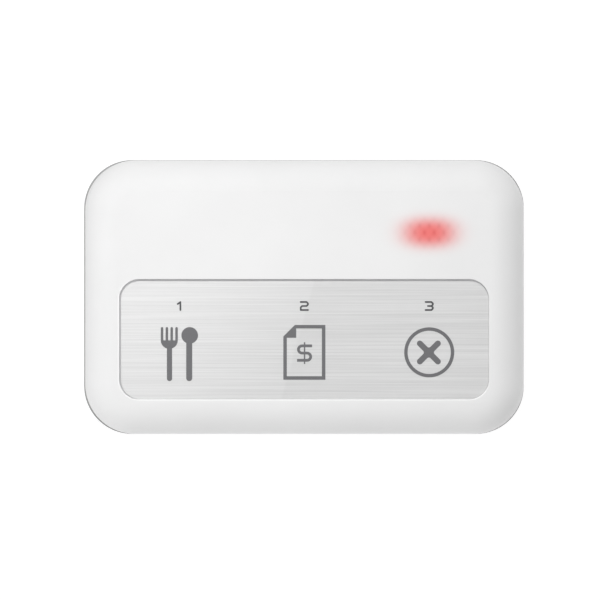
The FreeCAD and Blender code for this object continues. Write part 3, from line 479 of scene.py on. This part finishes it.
def marked_chip(name, node):
    """Black moulding compound with a small round mark at the first lead."""
    mark_radius = 0.35 * MM
    mark_inset = 0.9 * MM
    mark_tint = 6.0
    finish = moulded(name, CHIP_BLACK, gloss=(0.45, 0.6), patch=1.5 * MM, grain=0.06 * MM, depth=0.004 * MM)
    low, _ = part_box(node)
    from_mark = finish.off_axis(Vector((low.x + mark_inset, low.y + mark_inset, 0.0)))
    mark = finish.math("LESS_THAN", from_mark, mark_radius)
    finish.feed("Base Color", finish.mixed(mark, finish.colour(), tinted(CHIP_BLACK, mark_tint)))
    return finish


def marked_can(name, node):
    """Bright capacitor can with the dark segment that marks one pole."""
    plain_share = 0.7
    end_depth = 0.15 * MM
    finish = bare_metal(
        name, CAN_METAL, gloss=(0.18, 0.30), line=0.10 * MM, stretch=(8.0, 1.0, 1.0), depth=0.001 * MM
    )
    low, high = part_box(node)
    segment_start = low.x + plain_share * (high.x - low.x)
    along, _, height = finish.parts(finish.place)
    in_segment = finish.math("GREATER_THAN", along, segment_start)
    on_end = finish.math("LESS_THAN", height, low.z + end_depth)
    dark = finish.math("MULTIPLY", in_segment, on_end)
    finish.feed("Base Color", finish.mixed(dark, finish.colour(), SEAL_BLACK))
    return finish


def turned_cell(name):
    """Polished steel of the coin cell with fine turning rings round its axis."""
    ring_width = 0.12 * MM
    ring_depth = 0.0015 * MM
    upright = (0.0, 0.0, 1.0)
    finish = bare_metal(
        name,
        CELL_STEEL,
        gloss=(0.20, 0.28),
        line=0.1 * MM,
        stretch=(1.0, 1.0, 1.0),
        depth=0.001 * MM,
        Anisotropic=0.5,
    )
    x, y, _ = finish.parts(finish.offset((cell_low + cell_high) / 2))
    from_axis = finish.flat(x, y)
    outward = finish.flat(finish.math("DIVIDE", finish.length(from_axis), ring_width), 0.0)
    rings = finish.node("ShaderNodeTexNoise", {"Vector": outward, "Scale": 1.0, "Detail": 2.0}).outputs["Fac"]
    finish.relief(rings, ring_depth)
    inputs = {0: from_axis, 1: upright}
    round_way = finish.node("ShaderNodeVectorMath", inputs, operation="CROSS_PRODUCT").outputs[0]
    finish.feed("Tangent", round_way)
    return finish


def two_kinds(name):
    """Small parts, some in tan ceramic and some in black."""
    tan_share = 0.55
    finish = moulded(name, CERAMIC_TAN, gloss=(0.4, 0.55), patch=0.8 * MM, grain=0.08 * MM, depth=0.003 * MM)
    chance = finish.node("ShaderNodeNewGeometry").outputs["Random Per Island"]
    black = finish.math("GREATER_THAN", chance, tan_share)
    finish.feed("Base Color", finish.mixed(black, finish.colour(), CHIP_BLACK))
    return finish


def lit_lamp(name, node):
    """Clear resin lamp whose dish shines red round its middle."""
    brightest, faintest = 1.0, 0.02
    bright_radius, faint_radius = 0.2 * MM, 1.3 * MM
    finish = moulded(
        name,
        LAMP_RESIN,
        gloss=(0.15, 0.3),
        patch=1.2 * MM,
        grain=0.1 * MM,
        depth=0.002 * MM,
        Transmission_Weight=0.35,
    )
    low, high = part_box(node)
    radius = finish.off_axis((low + high) / 2)
    finish.feed("Emission Color", (*LAMP_RED, 1.0))
    finish.feed("Emission Strength", finish.span(radius, brightest, faintest, bright_radius, faint_radius))
    return finish


def light_guide_clear(name):
    """Clear light guide with a painted red glow, stronger towards its pips."""
    low_glow, high_glow = 0.08, 0.5
    finish = moulded(
        name,
        GUIDE_CLEAR,
        gloss=(0.08, 0.2),
        patch=3 * MM,
        grain=0.15 * MM,
        depth=0.0015 * MM,
        Transmission_Weight=0.85,
        IOR=1.49,
    )
    _, _, height = finish.parts(finish.place)
    # Painted glow: red emission that grows with height stands in for the lights' glow in the guide.
    finish.feed("Emission Color", (*LAMP_RED, 1.0))
    finish.feed("Emission Strength", finish.span(height, low_glow, high_glow, guide_low.z, guide_high.z))
    return finish


# ================================================================ pieces built in place of imported nodes
def evenly(start, stop, step):
    """Places from start to stop, both included, in equal steps of about that step."""
    count = max(1, math.ceil((stop - start) / step))
    return [start + (stop - start) * index / count for index in range(count + 1)]


def bending_piece(name, mesh, material, node):
    """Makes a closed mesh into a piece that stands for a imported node."""
    bmesh.ops.recalc_face_normals(mesh, faces=mesh.faces[:])
    data = bpy.data.meshes.new(name)
    mesh.to_mesh(data)
    mesh.free()
    data.materials.append(material)
    piece = bpy.data.objects.new(name, data)
    bpy.context.scene.collection.objects.link(piece)
    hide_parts(node)
    return piece


def follow_key(piece, share_at):
    """Bakes the piece's transform into its mesh and works out each point's share from share_at, from 0 to 1;
    nothing more is done with the shares.
    """
    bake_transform(piece)
    shares = [share_at(vertex.co) for vertex in piece.data.vertices]


# ================================================================ snap domes under the keys
def snap_dome(key, material):
    """A key's snap dome, a thin round cap over the floor of its cup."""
    node = f"{key}_switch_dome"
    low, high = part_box(node)
    axis = key_centres[key]
    half = high.x - axis.x
    height = high.z - low.z
    outer = (half**2 + height**2) / (2 * height)
    inner = outer - DOME_THICKNESS
    centre_depth = outer - height
    foot = math.sqrt(inner**2 - centre_depth**2)

    def rise(radius, reach):
        """Height over the cup's floor of the sphere with that radius, so far from the dome's axis."""
        return math.sqrt(radius**2 - reach**2) - centre_depth

    def press_share_at(point):
        reach = math.hypot(point.x - axis.x, point.y - axis.y)
        room = rise(inner, min(reach, foot)) - DOME_FLOOR_GAP
        return min(1.0, max(0.0, room / KEY_TRAVEL))

    profile = [(reach, rise(inner, reach)) for reach in evenly(0.0, foot, foot / DOME_STEPS)]
    profile += [(reach, rise(outer, reach)) for reach in evenly(half, 0.0, -half / DOME_STEPS)]
    mesh = bmesh.new()
    rings = []
    for reach, up in profile:
        ring = []
        for index in range(DOME_SEGMENTS):
            angle = 2 * math.pi * index / DOME_SEGMENTS
            place = (axis.x + reach * math.cos(angle), axis.y + reach * math.sin(angle), low.z + up)
            ring.append(mesh.verts.new(place))
        rings.append(ring)
    for ring, next_ring in zip(rings, rings[1:]):
        for index in range(DOME_SEGMENTS):
            after = (index + 1) % DOME_SEGMENTS
            mesh.faces.new((ring[index], ring[after], next_ring[after], next_ring[index]))
    bmesh.ops.remove_doubles(mesh, verts=mesh.verts[:], dist=SAME_PLACE)
    piece = bending_piece(f"{key}_snap_dome", mesh, material, node)
    piece.data.shade_smooth()
    piece.data.set_sharp_from_angle(angle=math.radians(DOME_EDGE_ANGLE))
    follow_key(piece, press_share_at)


# ================================================================ panel film over the keys
def cut_grid(mesh, axis, places):
    """Cuts every face of the mesh along planes square to the axis."""
    normal = Vector((0.0, 0.0, 0.0))
    normal[axis] = 1.0
    for place in places:
        everything = mesh.verts[:] + mesh.edges[:] + mesh.faces[:]
        plane = {"plane_co": normal * place, "plane_no": normal, "dist": SAME_PLACE}
        bmesh.ops.bisect_plane(mesh, geom=everything, **plane)


def dip_lines(centre, head, window, start, stop):
    """Grid lines for one direction: close together where the film slopes down beside a key head."""
    lines = evenly(start, centre - window / 2, OPEN_STEP)
    slope_step = (window - head) / 2 / DIP_STEPS
    lines += evenly(centre - window / 2, centre - head / 2, slope_step)
    lines += evenly(centre - head / 2, centre + head / 2, OPEN_STEP)
    lines += evenly(centre + head / 2, centre + window / 2, slope_step)
    return lines + evenly(centre + window / 2, stop, OPEN_STEP)


def film_corner_radius(x, y):
    """Radius of the film's corner at x and y, which shares its centre with the seat's corner there."""
    gap_x = seat_high.x + TAPE_GAP - x if x > 0 else x - seat_low.x + TAPE_GAP
    gap_y = seat_high.y + TAPE_GAP - y if y == film_high.y else y - seat_low.y + TAPE_GAP
    return SEAT_CORNER - (gap_x + gap_y) / 2


def zone_outline(start, stop):
    """The film's outline from x start to x stop, with the panel's round corners where it ends there."""
    points = []
    low, high = film_low.y, film_high.y
    corners = ((stop, low, -90), (stop, high, 0), (start, high, 90), (start, low, 180))
    for x, y, first_angle in corners:
        if x not in (film_low.x, film_high.x):
            points.append(Vector((x, y, film_high.z)))
            continue
        radius = film_corner_radius(x, y)
        centre_x = x - math.copysign(radius, x)
        centre_y = y - radius if y == film_high.y else y + radius
        for index in range(FILM_CORNER_STEPS + 1):
            angle = math.radians(first_angle + 90 * index / FILM_CORNER_STEPS)
            offset = Vector((math.cos(angle), math.sin(angle), 0.0)) * radius
            points.append(Vector((centre_x, centre_y, film_high.z)) + offset)
    return points


def smooth_share(share):
    """The share from 0 to 1, eased at both ends."""
    return share * share * (3 - 2 * share)


def press_share(point, centre):
    """How far a point of the film follows its key: 1 on the key's head, 0 from the window's edge on."""
    shares = []
    for value, middle, head, window in zip(point, centre, KEY_HEAD, KEY_WINDOW):
        beside = (window / 2 - abs(value - middle)) / ((window - head) / 2)
        shares.append(min(1.0, max(0.0, beside)))
    return smooth_share(shares[0]) * smooth_share(shares[1])


def film_zone(name, start, stop, material):
    """One key's third of the film, as a closed sheet whose grid is closer beside the key head."""
    centre = key_centres[name]
    mesh = bmesh.new()
    mesh.faces.new([mesh.verts.new(point) for point in zone_outline(start, stop)])
    cut_grid(mesh, 0, dip_lines(centre.x, KEY_HEAD[0], KEY_WINDOW[0], start, stop)[1:-1])
    cut_grid(mesh, 1, dip_lines(centre.y, KEY_HEAD[1], KEY_WINDOW[1], film_low.y, film_high.y)[1:-1])
    lower = bmesh.ops.extrude_face_region(mesh, geom=mesh.faces[:], use_keep_orig=True)["geom"]
    lower_points = [part for part in lower if isinstance(part, bmesh.types.BMVert)]
    bmesh.ops.translate(mesh, vec=(0.0, 0.0, film_low.z - film_high.z), verts=lower_points)
    piece = bending_piece(f"{name}_film_zone", mesh, material, "panel_film")
    follow_key(piece, lambda point: press_share(point, centre))


def make_film(material):
    """The film as three adjoining zones, one for each key."""
    borders = [film_low.x]
    for left_name, right_name in zip(key_names, key_names[1:]):
        borders.append((key_centres[left_name].x + key_centres[right_name].x) / 2)
    borders.append(film_high.x)
    for name, start, stop in zip(key_names, borders, borders[1:]):
        film_zone(name, start, stop, material)


# ================================================================ studio and camera
def make_camera():
    """A long lens straight over the face, with the case where the picture has it."""
    data = bpy.data.cameras.new("long_lens")
    camera = bpy.data.objects.new("camera", data)
    bpy.context.scene.collection.objects.link(camera)
    view_width = IMAGE_SIZE * PIXEL
    data.lens = data.sensor_width * CAMERA_HEIGHT / view_width
    data.clip_start, data.clip_end = CAMERA_REACH
    middle = IMAGE_SIZE / 2
    aim_x = (middle - CASE_CENTRE_PIXEL[0]) * PIXEL
    aim_y = (CASE_CENTRE_PIXEL[1] - middle) * PIXEL
    camera.location = (aim_x, aim_y, (case_low.z + case_high.z) / 2 + CAMERA_HEIGHT)
    bpy.context.scene.camera = camera


def seen_directly(tree):
    """1 for rays that look at the background straight, in a reflection or through glass, 0 for light."""
    path = tree.nodes.new("ShaderNodeLightPath")
    seen = path.outputs["Is Camera Ray"]
    for output in ("Is Glossy Ray", "Is Transmission Ray"):
        highest = tree.nodes.new("ShaderNodeMath")
        highest.operation = "MAXIMUM"
        tree.links.new(seen, highest.inputs[0])
        tree.links.new(path.outputs[output], highest.inputs[1])
        seen = highest.outputs[0]
    return seen


def make_world():
    """Even room light that shows as plain white behind the part."""
    world = bpy.data.worlds.new("white_room")
    bpy.context.scene.world = world
    world.use_nodes = True
    tree = world.node_tree
    background = tree.nodes["Background"]
    background.inputs["Color"].default_value = FULL_WHITE
    strength = tree.nodes.new("ShaderNodeMapRange")
    strength.inputs["To Min"].default_value = WORLD_LIGHT
    strength.inputs["To Max"].default_value = 1.0
    tree.links.new(seen_directly(tree), strength.inputs[0])
    tree.links.new(strength.outputs[0], background.inputs["Strength"])


def make_floor():
    """A light table under the feet: white to the eye, with a soft shadow, and open to a look from below."""
    finish = Finish("light_table", FLOOR_COLOUR, FLOOR_ROUGHNESS)
    finish.feed("Emission Color", FULL_WHITE)
    glow = finish.span(seen_directly(finish.tree), FLOOR_LIGHT, FLOOR_LIGHT + FLOOR_GLOW, 0.0, 1.0)
    finish.feed("Emission Strength", glow)
    from_below = finish.node("ShaderNodeNewGeometry").outputs["Backfacing"]
    clear = finish.node("ShaderNodeBsdfTransparent").outputs[0]
    table = finish.node("ShaderNodeMixShader", {0: from_below, 1: finish.shader.outputs[0], 2: clear})
    finish.join(finish.tree.nodes["Material Output"].inputs["Surface"], table.outputs[0])
    half = FLOOR_SIZE / 2
    data = bpy.data.meshes.new("floor")
    corners = [(x * half, y * half, -FLOOR_DROP) for x, y in ((-1, -1), (1, -1), (1, 1), (-1, 1))]
    data.from_pydata(corners, [], [(0, 1, 2, 3)])
    data.materials.append(finish.material)
    floor = bpy.data.objects.new("floor", data)
    bpy.context.scene.collection.objects.link(floor)


def make_lamp(name, place, size, spread, power):
    """A square soft box turned to the middle of the face."""
    data = bpy.data.lights.new(name, "AREA")
    data.size = size
    data.spread = math.radians(spread)
    data.energy = power
    lamp = bpy.data.objects.new(name, data)
    lamp.location = place
    lamp.rotation_euler = (Vector(place) - Vector(LAMP_AIM)).to_track_quat("Z", "Y").to_euler()
    bpy.context.scene.collection.objects.link(lamp)


def dress(finish, *nodes):
    """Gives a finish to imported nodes, in every material slot that they have."""
    for name in nodes:
        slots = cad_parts[name].data.materials
        for index in range(len(slots)):
            slots[index] = finish.material


make_camera()
make_world()
make_floor()
for name, values in LAMPS.items():
    make_lamp(name, **values)

# ---------------------------------------------------------------- case, signs and film
dress(lit_case_plastic("lit_case_plastic"), "front_cover")
dress(case_plastic("base_plastic", BASE_GREY), "back_cover", "battery_door")
dress(sign_ink("sign_ink", INK_GREY), "left_sign_print", "middle_sign_print", "right_sign_print")
dress(sign_ink("letter_ink", LETTER_GREY), "number_print")
make_film(panel_film("panel_film").material)

# ---------------------------------------------------------------- other plastics, rubber and resin
tape = moulded(
    "tape",
    TAPE_GREY,
    gloss=(0.6, 0.75),
    patch=3 * MM,
    grain=0.1 * MM,
    depth=0.003 * MM,
    Specular_IOR_Level=0.2,
)
rubber = moulded(
    "rubber",
    FOOT_BLACK,
    gloss=(0.7, 0.85),
    patch=2 * MM,
    grain=0.15 * MM,
    depth=0.008 * MM,
    Specular_IOR_Level=0.3,
)
seal_plastic = moulded(
    "seal_plastic", SEAL_BLACK, gloss=(0.4, 0.55), patch=2 * MM, grain=0.1 * MM, depth=0.003 * MM
)
key_plastic = moulded(
    "key_plastic", KEY_WHITE, gloss=(0.42, 0.55), patch=6 * MM, grain=0.2 * MM, depth=0.004 * MM
)
switch_plastic = moulded(
    "switch_plastic", SWITCH_BLACK, gloss=(0.35, 0.5), patch=2 * MM, grain=0.08 * MM, depth=0.004 * MM
)
capacitor_base = moulded(
    "capacitor_base", CHIP_BLACK, gloss=(0.45, 0.6), patch=1.5 * MM, grain=0.08 * MM, depth=0.003 * MM
)
dress(tape, "panel_tape")
dress(rubber, "rubber_feet")
dress(seal_plastic, "cell_seal")
dress(capacitor_base, "capacitor_base")
dress(board_mask("board_mask"), "circuit_board")
dress(light_guide_clear("light_guide"), "light_guide")
for name in ("left_led", "right_led"):
    dress(lit_lamp(name, name), name)
for name in ("controller_chip", "radio_chip"):
    dress(marked_chip(name, name), name)
dress(two_kinds("passives"), "passives")

# ---------------------------------------------------------------- metals
spring_metal = bare_metal(
    "spring_steel",
    SPRING_STEEL,
    gloss=(0.22, 0.34),
    line=0.06 * MM,
    stretch=(1.0, 25.0, 1.0),
    depth=0.001 * MM,
)
tin = bare_metal(
    "tin", TIN, gloss=(0.22, 0.42), line=0.3 * MM, stretch=(1.0, 1.0, 1.0), depth=0.01 * MM
)
screw_steel = bare_metal(
    "screw_steel",
    SCREW_STEEL,
    gloss=(0.24, 0.36),
    line=0.1 * MM,
    stretch=(1.0, 1.0, 4.0),
    depth=0.003 * MM,
)
crystal_can = bare_metal(
    "crystal_can",
    CAN_METAL,
    gloss=(0.18, 0.30),
    line=0.08 * MM,
    stretch=(20.0, 1.0, 1.0),
    depth=0.001 * MM,
)
copper_wire = bare_metal(
    "copper_wire",
    COPPER,
    gloss=(0.24, 0.36),
    line=0.1 * MM,
    stretch=(1.0, 6.0, 1.0),
    depth=0.0015 * MM,
    Coat_Weight=0.6,
)
dress(spring_metal, "negative_contact", "positive_contact")
dress(tin, "switch_terminals", "chip_leads")
dress(screw_steel, "case_screws", "board_screws")
dress(crystal_can, "crystal")
dress(marked_can("capacitor_can", "capacitor"), "capacitor")
dress(copper_wire, "antenna_coil")
dress(turned_cell("cell_steel"), "cell_can", "cell_cap")

# ---------------------------------------------------------------- keys and their switches
for name in key_names:
    dress(key_plastic, f"{name}_key")
    dress(switch_plastic, f"{name}_switch_body", f"{name}_switch_plunger")
    dress(spring_metal, f"{name}_switch_plate")
    snap_dome(name, spring_metal.material)

bpy.context.scene.view_settings.view_transform = "Standard"
